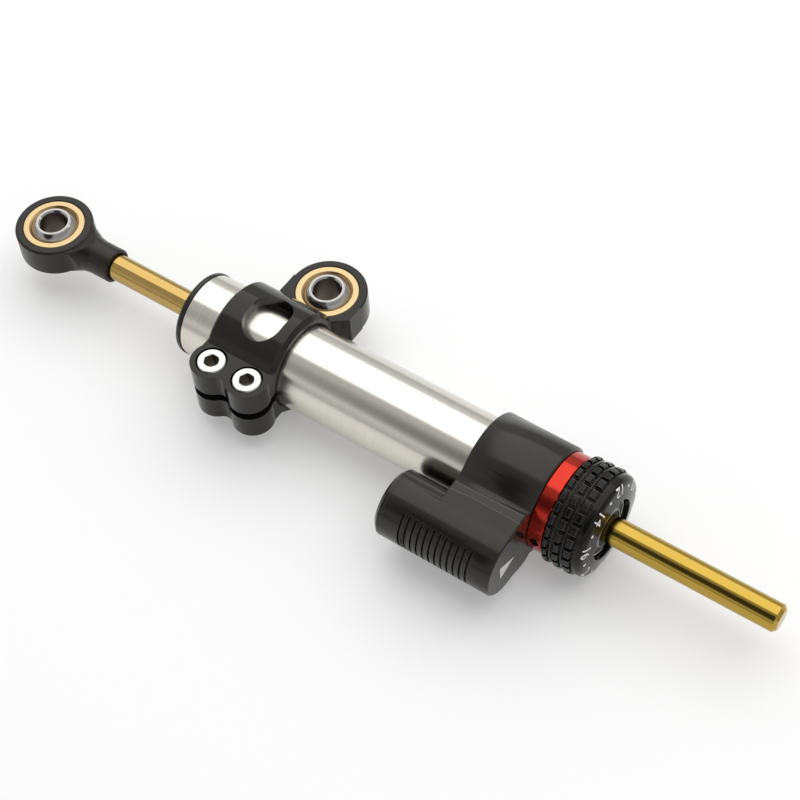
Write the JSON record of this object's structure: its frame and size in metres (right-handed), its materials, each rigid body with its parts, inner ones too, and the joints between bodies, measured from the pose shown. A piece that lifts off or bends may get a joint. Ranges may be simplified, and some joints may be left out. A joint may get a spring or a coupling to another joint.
{
  "type": "steering damper",
  "caption": "Hydraulic motorcycle steering damper: through rod in a tube, rod end, sliding split clamp with an eye, remote reservoir and a knurled click dial.",
  "frame": {"origin": "centre of the bolt hole in the rod-end ball", "axes": "+X along the rod towards the dial, +Z along both eye bolts, +Y from the tube towards the clamp eye"},
  "size_m": [0.2556, 0.068, 0.0314],
  "materials": {
    "tube_steel": "brushed round the tube",
    "black_anodised": "satin anodised",
    "dial_black": "satin anodised, white filled numbers",
    "red_anodised": "bright anodised",
    "rod_gold": "polished, gold nitride coat",
    "race_brass": "turned",
    "ball_steel": "polished",
    "screw_steel": "bright zinc",
    "spring_steel": "plain",
    "hub_grey": "turned",
    "piston_alloy": "turned",
    "bronze": "sintered",
    "guide_band": "filled plastic",
    "seal_rubber": "matte"
  },
  "bodies": {
    "damper_body": {"tube": "tube_steel", "front_cap": "black_anodised", "front_bush": "bronze", "front_rod_seal": "seal_rubber", "front_wiper": "seal_rubber", "front_cap_o_ring": "seal_rubber", "rear_head": "black_anodised", "head_o_ring": "seal_rubber", "rod_hub": "hub_grey", "rear_bush": "bronze", "rear_rod_seal": "seal_rubber", "rear_wiper": "seal_rubber", "red_collar": "red_anodised", "collar_set_screw": "screw_steel", "reservoir_cap": "black_anodised", "reservoir_cap_o_ring": "seal_rubber", "dial_circlip": "spring_steel"},
    "piston_body": {"piston": "piston_alloy", "piston_band": "guide_band", "piston_band_o_ring": "seal_rubber", "piston_rod_o_ring": "seal_rubber"},
    "rod_body": {"piston_rod": "rod_gold", "piston_circlips": "spring_steel", "rod_end_housing": "black_anodised", "rod_end_race": "race_brass"},
    "rod_end_ball_body": {"rod_end_ball": "ball_steel"},
    "clamp": {"clamp_body": "black_anodised", "clamp_screws": "screw_steel", "clamp_race": "race_brass"},
    "clamp_ball_body": {"clamp_ball": "ball_steel"},
    "dial": {"adjuster_dial": "dial_black"},
    "sleeve": {"metering_sleeve": "piston_alloy", "sleeve_o_ring": "seal_rubber"},
    "detent": {"detent_ball": "ball_steel", "detent_spring": "spring_steel"},
    "floating_piston": {"reservoir_piston": "piston_alloy", "reservoir_piston_o_ring": "seal_rubber"}
  },
  "joints": [
    {"name": "piston_slide", "type": "slide", "parent": "damper_body", "child": "piston_body", "axis": [1, 0, 0], "range_m": [-0.041, 0.029]},
    {"name": "rod_spin", "type": "hinge", "parent": "piston_body", "child": "rod_body", "pos_m": [0.1, 0, 0], "axis": [1, 0, 0], "continuous": true},
    {"name": "rod_end_swivel", "type": "hinge", "parent": "rod_body", "child": "rod_end_ball_body", "pos_m": [0, 0, 0], "axis": [0, 0, 1], "continuous": true},
    {"name": "clamp_slide", "type": "slide", "parent": "damper_body", "child": "clamp", "axis": [1, 0, 0], "range_m": [-0.008, 0.04]},
    {"name": "clamp_eye_swivel", "type": "hinge", "parent": "clamp", "child": "clamp_ball_body", "pos_m": [0.085, 0.0228, 0], "axis": [0, 0, 1], "continuous": true},
    {"name": "dial_turn", "type": "hinge", "parent": "damper_body", "child": "dial", "pos_m": [0.188, 0, 0], "axis": [1, 0, 0], "range_deg": [-337.5, 0]},
    {"name": "sleeve_slide", "type": "slide", "parent": "damper_body", "child": "sleeve", "axis": [1, 0, 0], "range_m": [0, 0.00142]},
    {"name": "detent_click", "type": "slide", "parent": "damper_body", "child": "detent", "axis": [1, 0, 0], "range_m": [-0.0004, 0], "stiffness_N_per_m": 500, "springref_m": 0.002},
    {"name": "floating_piston_slide", "type": "slide", "parent": "damper_body", "child": "floating_piston", "axis": [1, 0, 0], "range_m": [-0.0055, 0.008]}
  ],
  "couplings": [
    {"joint": "sleeve_slide", "follows": "dial_turn", "m_per_rad": -0.0002376}
  ]
}
